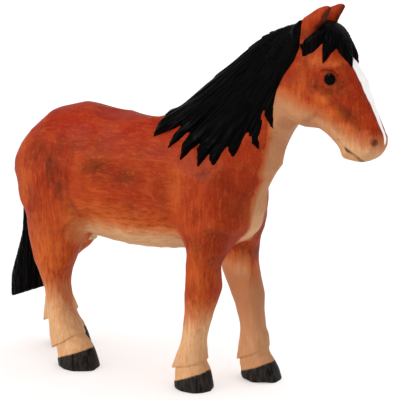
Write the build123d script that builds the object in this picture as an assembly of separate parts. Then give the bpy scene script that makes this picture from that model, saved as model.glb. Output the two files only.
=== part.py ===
"""Carved wooden horse, walking pose, built as a glue-up of carved blocks on hidden dowels.

Row frame: +X toward the nose, +Y toward the horse's left, +Z up, millimetres.
Every carved block is described the way a carver draws it: a side profile given as
pairs of (x, z) edge points, and a half width at each pair.
"""

from build123d import *
import math
import os

os.makedirs("parts", exist_ok=True)

# ---- driving dimensions -------------------------------------------------------------

RING_POINTS = 14          # points on one carved cross-section
ROUNDNESS = 2.3           # 2 is an ellipse, larger is squarer
MANE_THICKNESS = 1.4
FORELOCK_THICKNESS = 1.3

DOWEL_CLEARANCE = 0.05    # on the radius of a bore
BORE_EXTRA = 0.5          # glue room at each end of a bore
DOWEL_CHAMFER = 0.5

NECK_SEAM_TOP = (-9.0, 104.0)
NECK_SEAM_LOW = (37.0, 73.0)
HEAD_SEAM_LOW = (51.5, 104.0)
HEAD_SEAM_TOP = (28.5, 132.0)

FRONT_SEAT_Z = 56.0
HIND_SEAT_Z = 58.0
INNER_CHEEK_Y = 2.5
UNDER_BELLY_Z = 47.5
FRONT_SEAT_BACK_X = 8.0
NEAR_HIND_SEAT_FRONT_X = -33.0
FAR_HIND_SEAT_FRONT_X = -37.0

NECK_DOWEL = (3.0, 26.0)  # radius, length
HEAD_DOWEL = (2.5, 20.0)
FRONT_DOWEL = (2.5, 22.0)
HIND_DOWEL = (3.0, 24.0)
TAIL_DOWEL = (1.75, 12.0)

EYE_RADIUS = 2.1
EYE_LENGTH = 3.2
EYE_AT = (68.0, 122.0)
EYE_PEG_Y = 8.4

# (upper or front edge, lower or back edge, half width)
TRUNK = [
    ((-71.5, 87.5), (-71.5, 75.0), 6.0),
    ((-69.5, 92.2), (-69.5, 69.0), 11.0),
    ((-64.0, 97.4), (-64.0, 63.0), 15.0),
    ((-56.0, 101.6), (-56.0, 57.5), 17.5),
    ((-44.0, 103.6), (-44.0, 53.6), 18.8),
    ((-29.0, 102.2), (-29.0, 51.0), 19.3),
    ((-13.0, 101.0), (-13.0, 50.6), 19.8),
    ((2.0, 100.6), (2.0, 51.4), 19.3),
    ((13.0, 98.5), (13.0, 52.6), 18.0),
    ((22.0, 94.0), (22.0, 55.0), 15.5),
    ((28.0, 86.0), (28.0, 59.0), 12.0),
    ((31.2, 77.0), (31.2, 64.5), 6.5),
]
NECK = [
    ((-17.0, 93.0), (26.0, 60.0), 14.0),
    ((-6.0, 100.0), (34.0, 76.5), 14.0),
    ((9.2, 113.6), (41.0, 89.5), 11.0),
    ((24.4, 125.2), (47.0, 101.0), 9.3),
    ((38.2, 134.0), (51.5, 107.0), 9.0),
    ((49.0, 138.8), (56.0, 110.5), 8.6),
]
HEAD = [
    ((42.5, 135.4), (45.5, 111.5), 8.4),
    ((53.0, 138.8), (50.0, 107.2), 9.6),
    ((63.2, 137.6), (55.2, 104.8), 10.2),
    ((70.4, 131.0), (60.2, 102.6), 10.3),
    ((75.0, 122.5), (64.0, 99.8), 9.4),
    ((80.0, 112.2), (67.8, 95.8), 7.8),
    ((83.8, 104.2), (71.2, 93.6), 7.0),
    ((84.4, 99.2), (75.2, 92.4), 6.0),
    ((82.8, 94.9), (79.0, 92.4), 3.4),
]
EAR = [
    ((61.5, 133.5), (53.5, 133.0), 3.6),
    ((62.4, 138.4), (54.3, 138.2), 3.4),
    ((64.6, 142.9), (58.6, 143.4), 2.6),
    ((64.8, 147.0), (63.3, 147.4), 0.7),
]
RIGHT_FRONT = [
    ((20.8, 0.0), (5.0, 0.0), 7.2),
    ((19.8, 4.5), (4.4, 4.5), 7.0),
    ((18.2, 8.4), (3.4, 8.4), 6.6),
    ((17.2, 13.7), (5.8, 13.7), 5.8),
    ((17.0, 20.0), (7.8, 20.0), 4.8),
    ((19.2, 29.6), (8.6, 29.6), 5.2),
    ((22.0, 36.3), (9.0, 36.3), 6.1),
    ((23.8, 46.0), (10.2, 46.0), 6.6),
    ((26.4, 56.0), (10.2, 56.0), 7.6),
    ((29.4, 66.0), (6.0, 66.0), 8.4),
    ((28.0, 80.0), (2.5, 80.0), 7.4),
    ((21.0, 92.0), (4.0, 92.0), 2.5),
]
LEFT_FRONT = [
    ((36.2, 0.0), (20.4, 0.0), 7.2),
    ((35.0, 4.5), (19.8, 4.5), 7.0),
    ((32.4, 8.0), (18.4, 8.0), 6.6),
    ((30.8, 14.4), (19.4, 14.4), 5.8),
    ((29.2, 20.0), (19.6, 20.0), 4.8),
    ((28.2, 30.0), (16.8, 30.0), 5.3),
    ((28.0, 36.0), (14.2, 36.0), 6.2),
    ((25.4, 46.0), (11.2, 46.0), 6.7),
    ((26.4, 56.0), (10.4, 56.0), 7.6),
    ((29.4, 66.0), (6.0, 66.0), 8.4),
    ((28.0, 80.0), (2.5, 80.0), 7.4),
    ((21.0, 92.0), (4.0, 92.0), 2.5),
]
RIGHT_HIND = [
    ((-33.2, 0.0), (-50.4, 0.0), 7.2),
    ((-34.4, 4.5), (-51.6, 4.5), 7.0),
    ((-36.6, 9.0), (-53.4, 9.0), 6.7),
    ((-41.0, 16.0), (-54.8, 16.0), 6.2),
    ((-44.8, 26.0), (-56.0, 26.0), 5.6),
    ((-45.4, 33.5), (-56.8, 33.5), 5.7),
    ((-44.0, 42.0), (-61.2, 42.0), 6.8),
    ((-40.2, 50.0), (-64.6, 50.0), 7.8),
    ((-35.0, 58.0), (-66.0, 58.0), 8.6),
    ((-31.0, 68.0), (-69.6, 68.0), 9.2),
    ((-33.0, 80.0), (-69.4, 80.0), 8.0),
    ((-44.0, 92.0), (-62.0, 92.0), 2.5),
]
LEFT_HIND = [
    ((-53.6, 0.0), (-70.8, 0.0), 7.2),
    ((-54.8, 4.5), (-72.0, 4.5), 7.0),
    ((-57.0, 9.0), (-74.4, 9.0), 6.7),
    ((-61.4, 16.0), (-74.6, 16.0), 6.2),
    ((-63.0, 26.0), (-74.2, 26.0), 5.6),
    ((-60.4, 33.5), (-72.0, 33.5), 5.7),
    ((-54.0, 42.0), (-71.0, 42.0), 6.8),
    ((-45.0, 50.0), (-69.0, 50.0), 7.8),
    ((-37.5, 58.0), (-67.6, 58.0), 8.6),
    ((-32.0, 68.0), (-69.6, 68.0), 9.2),
    ((-33.0, 80.0), (-69.4, 80.0), 8.0),
    ((-44.0, 92.0), (-62.0, 92.0), 2.5),
]
TAIL = [
    ((-67.0, 92.5), (-70.8, 91.5), 2.4),
    ((-68.0, 88.0), (-75.0, 87.0), 3.8),
    ((-68.6, 76.0), (-76.4, 75.0), 4.3),
    ((-68.6, 64.0), (-76.2, 63.0), 4.6),
    ((-68.4, 52.0), (-76.0, 51.0), 5.2),
    ((-68.4, 42.0), (-79.0, 40.0), 6.2),
    ((-67.4, 33.0), (-82.4, 30.0), 6.4),
    ((-69.0, 27.6), (-82.6, 21.4), 5.0),
]
LEG_Y = {"front_right": -12.0, "front_left": 12.0, "hind_right": -12.6, "hind_left": 13.2}
THIGH_Y = 11.2            # the leg blocks lean in to this at the top
EAR_Y = 5.6

# The mane's cut edge in side view: down the front, along the seven pointed locks, up the crest.
MANE_EDGE = [
    (52.8, 146.0), (53.6, 135.1), (49.0, 125.9), (44.6, 113.5), (42.6, 99.8),
    (39.2, 107.6), (37.6, 94.2), (33.4, 99.0), (30.0, 90.4), (27.2, 94.6),
    (25.4, 86.9), (21.8, 92.6), (18.8, 86.8), (14.6, 96.2), (10.6, 87.6),
    (8.6, 98.4), (3.7, 92.6), (2.2, 100.0), (-4.8, 96.0), (-7.6, 103.0),
    (-8.0, 110.0), (20.0, 134.0), (38.0, 146.0),
]
FORELOCK_EDGE = [
    (57.6, 145.0), (54.8, 136.0), (55.8, 131.2), (60.0, 134.6), (65.0, 128.0),
    (67.2, 133.6), (72.0, 125.6), (74.6, 130.0), (76.0, 136.0), (66.0, 145.0),
]


# ---- carved blocks ------------------------------------------------------------------

def ring(edge_a, edge_b, half_width, y, grow):
    """One closed cross-section between two side-view edge points, across the Y axis."""
    length = math.hypot(edge_a[0] - edge_b[0], edge_a[1] - edge_b[1])
    ux = (edge_a[0] - edge_b[0]) / length
    uz = (edge_a[1] - edge_b[1]) / length
    cx = (edge_a[0] + edge_b[0]) / 2
    cz = (edge_a[1] + edge_b[1]) / 2
    half_length = length / 2 + grow
    half_width = half_width + grow
    points = []
    for i in range(RING_POINTS):
        angle = 2 * math.pi * i / RING_POINTS
        c = math.cos(angle)
        s = math.sin(angle)
        along = half_length * math.copysign(abs(s) ** (2 / ROUNDNESS), s)
        across = half_width * math.copysign(abs(c) ** (2 / ROUNDNESS), c)
        points.append(Vector(cx + along * ux, y + across, cz + along * uz))
    return Wire([Edge.make_spline(points, periodic=True)])


def block(stations, y_first=0.0, y_last=0.0, grow=0.0, flats=False):
    """A block lofted through its cross-sections, leaning from y_first to y_last.

    With flats the block is cut straight from one cross-section to the next, as a knife does.
    """
    rings = []
    for i, (edge_a, edge_b, half_width) in enumerate(stations):
        y = y_first + (y_last - y_first) * i / (len(stations) - 1)
        rings.append(ring(edge_a, edge_b, half_width, y, grow))
    return Solid.make_loft(rings, flats)


def prism(outline, y_low, y_high):
    """A side-view outline extruded along Y between two widths."""
    face = make_face(Polyline(*[(x, 0, z) for x, z in outline], close=True))
    solid = extrude(face, amount=y_high - y_low, dir=(0, 1, 0))
    return Pos(0, y_low, 0) * solid


def leg_room(side, seat_x0, seat_x1, free_x0, free_x1, seat_z):
    """The room one leg block fills: a flat seat above, and all the air below the belly."""
    outline = [
        (seat_x0, seat_z), (seat_x1, seat_z), (free_x1, UNDER_BELLY_Z), (free_x1, -5),
        (free_x0, -5), (free_x0, UNDER_BELLY_Z), (seat_x0, UNDER_BELLY_Z),
    ]
    if seat_x0 == free_x0:
        outline = outline[:2] + [(seat_x1, UNDER_BELLY_Z), (free_x1, UNDER_BELLY_Z)] + outline[3:5]
    if side < 0:
        return prism(outline, -40, -INNER_CHEEK_Y)
    return prism(outline, INNER_CHEEK_Y, 40)


def above_seam(seam_a, seam_b):
    """Everything on the left of the side-view line from seam_a to seam_b."""
    dx = seam_b[0] - seam_a[0]
    dz = seam_b[1] - seam_a[1]
    reach = 200 / math.hypot(dx, dz)
    a = (seam_a[0] - dx * reach, seam_a[1] - dz * reach)
    b = (seam_b[0] + dx * reach, seam_b[1] + dz * reach)
    c = (b[0] - dz * reach, b[1] + dx * reach)
    d = (a[0] - dz * reach, a[1] + dx * reach)
    return prism([a, b, c, d], -100, 100)


# ---- joinery ------------------------------------------------------------------------

def dowel(middle, direction, size):
    """A round pin with chamfered ends, centred on the seam it crosses."""
    radius, length = size
    pin = Cylinder(radius, length)
    pin = chamfer(pin.edges().filter_by(GeomType.CIRCLE), DOWEL_CHAMFER)
    return Plane(origin=middle, z_dir=direction).location * pin


def bore(middle, direction, size):
    radius, length = size
    hole = Cylinder(radius + DOWEL_CLEARANCE, length + 2 * BORE_EXTRA)
    return Plane(origin=middle, z_dir=direction).location * hole


def seam_point(seam_a, seam_b, share):
    x = seam_a[0] + (seam_b[0] - seam_a[0]) * share
    z = seam_a[1] + (seam_b[1] - seam_a[1]) * share
    return (x, 0.0, z)


def seam_normal(seam_a, seam_b):
    dx = seam_b[0] - seam_a[0]
    dz = seam_b[1] - seam_a[1]
    length = math.hypot(dx, dz)
    return (-dz / length, 0.0, dx / length)


# ---- the whole carved surface -------------------------------------------------------

trunk_block = block(TRUNK)
neck_block = block(NECK)
head_block = block(HEAD)
right_front = block(RIGHT_FRONT, LEG_Y["front_right"], -THIGH_Y, flats=True)
left_front = block(LEFT_FRONT, LEG_Y["front_left"], THIGH_Y, flats=True)
right_hind = block(RIGHT_HIND, LEG_Y["hind_right"], -THIGH_Y, flats=True)
left_hind = block(LEFT_HIND, LEG_Y["hind_left"], THIGH_Y, flats=True)
ears = [block(EAR, side * EAR_Y, side * (EAR_Y - 0.8)) for side in (-1, 1)]

body = trunk_block + right_front + left_front + right_hind + left_hind + neck_block
upper = head_block + ears[0] + ears[1]
horse = body + upper

# ---- partition into blocks at the glue seams ----------------------------------------

neck_side = above_seam(NECK_SEAM_TOP, NECK_SEAM_LOW)
head_side = above_seam(HEAD_SEAM_TOP, HEAD_SEAM_LOW)

leg_rooms = {
    "leg_front_right": leg_room(-1, FRONT_SEAT_BACK_X, 60, -20, 60, FRONT_SEAT_Z),
    "leg_front_left": leg_room(1, FRONT_SEAT_BACK_X, 60, -20, 60, FRONT_SEAT_Z),
    "leg_hind_right": leg_room(-1, -100, NEAR_HIND_SEAT_FRONT_X, -100, -20, HIND_SEAT_Z),
    "leg_hind_left": leg_room(1, -100, FAR_HIND_SEAT_FRONT_X, -100, -20, HIND_SEAT_Z),
}

forehand = horse & neck_side
parts = {"head": forehand & head_side, "neck": forehand - head_side, "trunk": horse - neck_side}
for name, room in leg_rooms.items():
    parts[name] = horse & room
    parts["trunk"] = parts["trunk"] - room

# ---- dowels and their bores ---------------------------------------------------------

neck_axis = seam_normal(NECK_SEAM_TOP, NECK_SEAM_LOW)
head_axis = seam_normal(HEAD_SEAM_TOP, HEAD_SEAM_LOW)
pins = {
    "neck_dowel_rear": (
        seam_point(NECK_SEAM_TOP, NECK_SEAM_LOW, 0.36), neck_axis, NECK_DOWEL, ("trunk", "neck")),
    "neck_dowel_front": (
        seam_point(NECK_SEAM_TOP, NECK_SEAM_LOW, 0.68), neck_axis, NECK_DOWEL, ("trunk", "neck")),
    "head_dowel": (
        seam_point(HEAD_SEAM_TOP, HEAD_SEAM_LOW, 0.52), head_axis, HEAD_DOWEL, ("neck", "head")),
    "leg_dowel_front_right": (
        (18.4, -11.6, FRONT_SEAT_Z), (0, 0, 1), FRONT_DOWEL, ("trunk", "leg_front_right")),
    "leg_dowel_front_left": (
        (18.4, 11.6, FRONT_SEAT_Z), (0, 0, 1), FRONT_DOWEL, ("trunk", "leg_front_left")),
    "leg_dowel_hind_right": (
        (-50.0, -12.0, HIND_SEAT_Z), (0, 0, 1), HIND_DOWEL, ("trunk", "leg_hind_right")),
    "leg_dowel_hind_left": (
        (-53.0, 12.2, HIND_SEAT_Z), (0, 0, 1), HIND_DOWEL, ("trunk", "leg_hind_left")),
    "tail_dowel": (
        (-67.4, 0.0, 85.0), (1, 0, 0), TAIL_DOWEL, ("trunk", "tail")),
}
parts["tail"] = block(TAIL) - horse

for name, (middle, direction, size, joined) in pins.items():
    for block_name in joined:
        parts[block_name] = parts[block_name] - bore(middle, direction, size)

# ---- hair carved as thin caps over the blocks ---------------------------------------

grown_neck = block(NECK, grow=MANE_THICKNESS)
grown_trunk = block(TRUNK, grow=MANE_THICKNESS)
grown_head = block(HEAD, grow=FORELOCK_THICKNESS)
mane_cut = prism(MANE_EDGE, -30, 2.4)
forelock_cut = prism(FORELOCK_EDGE, -14, 14)
parts["mane"] = ((grown_neck & mane_cut) + (grown_trunk & mane_cut)) - horse
parts["forelock"] = (grown_head & forelock_cut) - horse - parts["mane"]

# ---- eyes ---------------------------------------------------------------------------

for name, side in (("eye_right", -1), ("eye_left", 1)):
    middle = (EYE_AT[0], side * EYE_PEG_Y, EYE_AT[1])
    peg = Plane(origin=middle, z_dir=(0.25, side, 0)).location * Cylinder(EYE_RADIUS, EYE_LENGTH)
    parts["head"] = parts["head"] - peg
    parts[name] = peg

for name, (middle, direction, size, joined) in pins.items():
    parts[name] = dowel(middle, direction, size)

# ---- origin at the bottom centre of the bounding box, then write --------------------

solids = {name: shape.solids()[0] for name, shape in parts.items()}
bounds = Compound(list(solids.values())).bounding_box()
to_origin = Pos(-bounds.center().X, -bounds.center().Y, -bounds.min.Z)
for name, solid in solids.items():
    export_step(to_origin * solid, f"parts/{name}.step")
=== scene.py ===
"""Carved, stained and painted wooden horse, sculpted as one implicit surface and split into its blocks.

Lengths in the sculpting part are millimetres in the carver's frame: +X toward the nose, +Y toward
the horse's left, +Z up, with the middle of the right front dowel at DOWEL_HOME. The row frame is that
frame moved so that the same dowel is where the CAD model has it.
"""

import math
from itertools import product

import bmesh
import bpy
import numpy as np
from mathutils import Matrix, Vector


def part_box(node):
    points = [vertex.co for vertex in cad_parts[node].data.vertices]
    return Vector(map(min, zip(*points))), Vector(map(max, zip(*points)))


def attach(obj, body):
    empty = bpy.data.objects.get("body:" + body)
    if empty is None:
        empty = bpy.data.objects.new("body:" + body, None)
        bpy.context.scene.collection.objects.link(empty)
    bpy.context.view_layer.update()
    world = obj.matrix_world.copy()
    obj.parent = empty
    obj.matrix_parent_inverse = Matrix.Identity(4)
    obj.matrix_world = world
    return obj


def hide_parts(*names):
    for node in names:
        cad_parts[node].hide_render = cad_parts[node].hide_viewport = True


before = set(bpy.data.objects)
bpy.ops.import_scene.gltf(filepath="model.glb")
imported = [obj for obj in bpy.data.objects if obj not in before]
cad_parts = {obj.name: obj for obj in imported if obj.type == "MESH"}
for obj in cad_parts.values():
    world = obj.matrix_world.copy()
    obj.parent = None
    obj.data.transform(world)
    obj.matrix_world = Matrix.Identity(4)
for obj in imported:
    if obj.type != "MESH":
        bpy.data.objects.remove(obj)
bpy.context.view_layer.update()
scene = bpy.context.scene

MM = 0.001
DOWEL_HOME = np.array([18.4, -11.6, 56.0])
dowel_low, dowel_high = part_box("leg_dowel_front_right")
TO_ROW = (np.array(dowel_low) + np.array(dowel_high)) / 2 / MM - DOWEL_HOME

HAIR_VOXEL = 0.36
LAP = 0.18                # how far each block runs past its seam, so that the rounded edges don't show
COARSE = 4                # fine cells along one coarse cell
FAR = 30.0                # distance given to points well away from a block
MARGIN = 11.0             # how far round a block its distance is worked out
CORNERS = list(product((0, 1), repeat=3))
NEIGHBOURS = list(product((-1, 0, 1), repeat=3))

# ---- carved shapes ----
# A station is x, z of the upper or front edge, x, z of the lower or back edge, and the half width.

TRUNK = [
    (-72.8, 84, -72.8, 77.4, 3),
    (-71.8, 88, -71.8, 74.5, 7.5),
    (-69, 92.6, -69, 69, 11.5),
    (-63.5, 97.6, -63.5, 63, 15.2),
    (-56, 101.6, -56, 57.5, 17.4),
    (-44, 103.4, -44, 53.6, 18.6),
    (-29, 101.8, -29, 50.9, 19),
    (-13, 101.5, -13, 50.2, 19.4),
    (2, 101.4, 2, 51.8, 19),
    (13, 98.5, 13, 52.6, 17.6),
    (22, 95, 22, 54.5, 15.5),
    (28.5, 88, 28.5, 58, 12.5),
    (31.9, 80, 32.4, 62.5, 8),
    (33, 75, 33, 66.5, 4),
]
NECK = [
    (-17, 93, 26, 60, 13),
    (-6, 99.6, 36.4, 77.4, 13.4),
    (9.6, 112.1, 41.5, 88.5, 11.4),
    (25, 124.3, 47, 100, 9.6),
    (38.4, 134.4, 52, 106.5, 8.8),
    (49, 138.4, 56.5, 109.5, 8.4),
]
HEAD = [
    (43.5, 134.4, 45.5, 111.5, 8),
    (53, 138.4, 50.8, 105.6, 9.4),
    (62.4, 137.6, 55.8, 103.4, 9.6),
    (69, 131.8, 60.2, 102.8, 9.5),
    (73.4, 125.4, 63.8, 100.8, 8.9),
    (77.4, 117.6, 65.9, 98.8, 7.8),
    (80.6, 110.4, 67.3, 97.2, 7),
    (83.6, 104.8, 68.9, 94.8, 6.7),
    (84.5, 100.4, 72.2, 92.6, 6.4),
    (83.8, 96.6, 76.2, 92, 5.4),
    (82, 94, 79, 92.4, 2.8),
]
NEAR_EAR = [
    (60, 128.5, 54, 129.5, 0.8),
    (60.3, 133, 51.9, 133.5, 2.9),
    (60, 137.6, 52.1, 137.8, 3.1),
    (61.6, 141, 53.8, 142.2, 2.9),
    (64.2, 144, 57.8, 145, 2.3),
    (65.2, 146.2, 61.6, 146.9, 1.4),
    (65.3, 147, 64, 147.6, 0.6),
]
# the front edge of the far ear stands further forward, except at its tip
FAR_EAR = [(x + 1.5 * min(1, (147 - z) / 4), z, *rest) for x, z, *rest in NEAR_EAR]
FRONT_TOP = [
    (22.8, 48, 9.6, 48, 6.9),
    (26.6, 56, 9.6, 56, 7.6),
    (29.4, 66, 6, 66, 8.2),
    (27.6, 80, 2.5, 80, 7.2),
    (21, 92, 4, 92, 2.5),
]
RIGHT_FRONT_LEG = [
    (17.6, 11.6, 3, 7.4, 6.3),
    (17.3, 14.6, 5.2, 12.4, 5.9),
    (17.4, 20.6, 7.4, 20, 4.9),
    (19, 28.6, 8.4, 28.6, 5.1),
    (21.4, 34.4, 8.8, 34.4, 6),
    (23.2, 40.4, 9.2, 40.4, 6.5),
] + FRONT_TOP
RIGHT_FRONT_FOOT = [
    (20.1, 0, 5, 0, 7),
    (19.5, 3.4, 4.7, 1.8, 6.9),
    (18.2, 8.2, 4.9, 3.4, 6.3),
    (16.6, 11.2, 5, 7, 5.8),
    (16.6, 15.4, 6.4, 11.6, 5),
    (16.2, 20, 8.4, 17, 4),
]
LEFT_FRONT_LEG = [
    (30.6, 13.2, 17.8, 6.6, 6.2),
    (30.2, 16, 18.8, 12.6, 5.7),
    (29, 21.6, 19.6, 20.4, 5),
    (28.2, 28.6, 17.2, 28.6, 5.3),
    (28.4, 34, 15, 34, 6.2),
    (26.8, 40.4, 12.8, 40.4, 6.6),
    (25.2, 48, 10.6, 48, 7),
] + FRONT_TOP[1:]
LEFT_FRONT_FOOT = [
    (35.9, 0, 20.8, 0, 7),
    (34.9, 3.4, 20.1, 1.6, 6.9),
    (32.4, 8, 20, 3, 6.3),
    (30.2, 11.4, 19.2, 6.6, 5.8),
    (30.4, 16.4, 20, 12, 5),
    (29, 21, 20.4, 18, 4),
]
HIND_TOP = [
    (-41.4, 50, -64, 50, 7.6),
    (-38.6, 58, -65, 58, 8.6),
    (-31.6, 68, -68.7, 68, 9.2),
    (-33, 80, -71.4, 80, 7.8),
    (-44, 92, -64, 92, 2.5),
]
RIGHT_HIND_LEG = [
    (-39.6, 14, -53, 6.4, 6.5),
    (-41.6, 17.4, -53.4, 11, 6.3),
    (-45.4, 24, -54.8, 20.6, 5.8),
    (-47, 31, -56, 29, 5.6),
    (-46.4, 37, -58.2, 36, 6),
    (-43.8, 43, -61.8, 43, 6.8),
] + HIND_TOP
RIGHT_HIND_FOOT = [
    (-32.6, 0, -49.6, 0, 7),
    (-33.4, 3.6, -50.2, 2, 6.9),
    (-35.6, 9.2, -50.2, 3.8, 6.4),
    (-39.2, 12.6, -50.6, 7.2, 5.8),
    (-42.2, 17.6, -51.2, 13, 5),
    (-44.8, 23, -52.8, 19, 4.2),
]
LEFT_HIND_LEG = [
    (-61.6, 14.8, -76.4, 8.6, 6.4),
    (-63.2, 18, -75.8, 13, 6.2),
    (-66, 24.6, -74.3, 22, 5.7),
    (-65, 31.5, -73.1, 30, 5.5),
    (-61.4, 37, -71.5, 37, 5.9),
    (-54, 43, -70.2, 43, 6.8),
    (-49.6, 50, -68.6, 50, 7.6),
    (-45.5, 58.5, -67.4, 58.5, 8.6),
] + HIND_TOP[2:]
LEFT_HIND_FOOT = [
    (-55.2, 0, -71.8, 0, 7.1),
    (-56.2, 3.4, -72.4, 2, 7),
    (-58.8, 8.6, -72.6, 3.6, 6.4),
    (-61.6, 12.6, -73.6, 8, 5.8),
    (-63.8, 17.6, -73.6, 14, 5),
    (-65.8, 23, -73, 21, 4),
]
TAIL = [
    (-66.5, 92.5, -70.8, 91.5, 2.4),
    (-68, 88, -75, 87, 3.8),
    (-68.6, 76, -76.6, 75, 4.3),
    (-68.4, 64, -76.4, 63, 4.5),
    (-68, 52, -76.6, 51, 5),
    (-67.6, 42, -79.6, 39.6, 6),
    (-66.4, 33, -83, 29.4, 6.4),
    (-67.6, 26.4, -83.4, 20.4, 5.6),
]
MANE_EDGE = [
    (54.4, 142), (54.7, 138.3), (54.2, 133), (52.4, 127.6), (48.6, 122.2), (45.6, 116.4),
    (44.4, 110.4), (44.2, 100.4), (40.6, 108.2), (38.4, 94.2), (34.2, 99.4), (29.8, 90.4),
    (26.8, 93.6), (23.4, 86.2), (20, 90.8), (16.6, 86.4), (14.8, 94.6), (8.6, 87.2),
    (8.4, 97.4), (2.6, 92.2), (3.6, 99.6), (-5.2, 95.6), (-6.6, 102.6), (-8, 110),
    (34, 150), (43, 141.2), (48.5, 141.8),
]
MANE_ROOT = (60, 149)
MANE_NOTCHES = [
    (4.1, 99.7), (8.6, 97.2), (14.6, 94.5), (20, 90.8), (26.8, 93.6), (34.4, 99.3), (40.7, 108.4),
]
# (direction round the poll in degrees, near side positive, reach of the hair from it in degrees)
FORELOCK_LOCKS = [
    (-180, 36), (-152, 38), (-137, 46), (-126, 64), (-109, 45), (-97, 30), (-76, 60),
    (-48, 32), (-22, 66), (-4, 46), (14, 68), (41, 31), (57, 43), (71, 67),
    (80, 47), (91, 29), (104, 49), (123, 68), (139, 52), (152, 38), (180, 36),
]
FORELOCK_ROOT = (60, 0, 124)
# (side-view line, width, depth) of the shallow cuts that divide the muscles
BODY_CUTS = [
    ([(-50.5, 83), (-47, 82), (-43.5, 78.5)], 0.9, 0.5),
    ([(-45, 90), (-41.5, 80), (-39.5, 70), (-35, 61), (-33, 55)], 2.6, 0.7),
    ([(-41.5, 78), (-39.5, 70), (-36, 63)], 0.9, 0.45),
    ([(-48.5, 76), (-44, 73.5), (-42.5, 69)], 0.95, 0.5),
    ([(11, 90), (6.5, 78), (5.5, 66), (8, 56)], 2.4, 0.6),
    ([(24.5, 76), (27, 66), (25, 58)], 1.6, 0.45),
    ([(-31, 80), (-22, 82.5), (-12, 81), (-6, 75)], 2.2, 0.25),
]
HEAD_CUTS = [
    ([(64, 124.6), (65.2, 125), (67.2, 124.5), (69.2, 123)], 0.5, 0.75),
    ([(61.6, 122.6), (62.4, 121), (62, 119.4)], 0.9, 0.4),
    ([(61.8, 118.8), (63.2, 118), (64.6, 118.8)], 0.7, 0.5),
    ([(65.4, 117), (69.6, 113.2), (73.8, 109), (77.6, 104.4)], 1.4, 1.2),
    ([(57.4, 105.8), (61.6, 108.4), (66.8, 106.8), (71.6, 102.6)], 1.3, 0.5),
    ([(44.4, 112.2), (47.4, 109.2), (51.2, 106.6)], 0.4, 0.35),
    ([(75.5, 104.4), (78.5, 101.6), (80, 97.8)], 0.8, 0.35),
    ([(56.4, 129), (58.6, 124.4), (60.2, 121)], 1.4, 0.3),
]
LEG_Y = {"front_right": -12, "front_left": 12, "hind_right": -12.6, "hind_left": 13.2}
THIGH_Y = 11.2
EAR_Y = 5.6
NECK_SEAM = ((-9, 104), (37, 73))
HEAD_SEAM = ((28.5, 132), (51.5, 104))
FRONT_SEAT_Z, HIND_SEAT_Z, UNDER_BELLY_Z = 56, 58, 47.5
FRONT_SEAT_BACK_X, NEAR_HIND_SEAT_X, FAR_HIND_SEAT_X = 8, -33, -37
MID_X = -20
CHEEK_Y = 2.5
EYE = np.array([67, 9, 122])
LIPS = [
    (69.4, 7.4, 100.2), (71.7, 7.4, 98.1), (74.3, 7, 96.1), (76.6, 6.2, 94.4), (78, 4.4, 93.3),
    (78.5, 0, 92.6),
]
# (middle, radii, turn about Y in degrees, blend) of the forms that stand out on each side of the head
HEAD_FORMS = [
    ((55, 5.4, 113.6), (9.8, 4.9, 9.8), 0, 2),         # cheek
    ((66.4, 6.6, 126), (4.6, 2, 1.5), 16, 1.6),     # brow
    ((73.2, 1.8, 96.4), (4.6, 4.9, 2.7), 34, 1.2),    # lower lip
    ((80.2, 4.4, 99.4), (3.6, 2.9, 4), 0, 1.6),        # nostril mound
]
FACE_FLAT_AT, FACE_FLAT_DIRECTION, FACE_FLAT_DEPTH = (73.2, 126.4), (0.904, 0.428), 0.35
# (middle, radii, turn about Y in degrees, rounding) of the hollows
SOCKET = ((67.6, 12.2, 121.4), (5.2, 3.8, 3.9), -35, 0.5)
NOSTRIL = ((83.3, 5.4, 100.1), (1.1, 1.3, 1.7), 30, 0.3)
EAR_HOLLOW = ((64.8, 6.4, 142.4), (2.3, 2.2, 5.4), -30, 0.4)
LIP_LINE = 0.5            # radius of the cut between the lips
# (size of one flat cut, height, salt) of the knife marks on each part
KNIFE = {
    "back": ((16, 11, 11), 2.2, 11),
    "leg": ((6.5, 6.5, 13), 0.9, 23),
    "head": ((7, 6.5, 8), 0.85, 37),
}
HAIR_LAP = 1.2            # how deep the mane and the forelock reach into the blocks under them
TAIL_LAP = 0.6            # the same for the tail
TAIL_AXIS_X = -73.5
FORELOCK_LEAN = (0.25, 0.968)


# ---- implicit solids ----

def smooth_curve(x, y, xq):
    """A curve through the points that never overshoots them (Fritsch and Carlson)."""
    h = np.diff(x)
    d = np.diff(y) / h
    m = np.zeros(len(y))
    m[0], m[-1] = d[0], d[-1]
    for i in range(1, len(y) - 1):
        if d[i - 1] * d[i] > 0:
            a, b = 2 * h[i] + h[i - 1], h[i] + 2 * h[i - 1]
            m[i] = (a + b) / (a / d[i - 1] + b / d[i])
    i = np.clip(np.searchsorted(x, xq) - 1, 0, len(x) - 2)
    t = (xq - x[i]) / h[i]
    return (
        (2 * t**3 - 3 * t**2 + 1) * y[i] + (t**3 - 2 * t**2 + t) * h[i] * m[i]
        + (3 * t**2 - 2 * t**3) * y[i + 1] + (t**3 - t**2) * h[i] * m[i + 1]
    )


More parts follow.
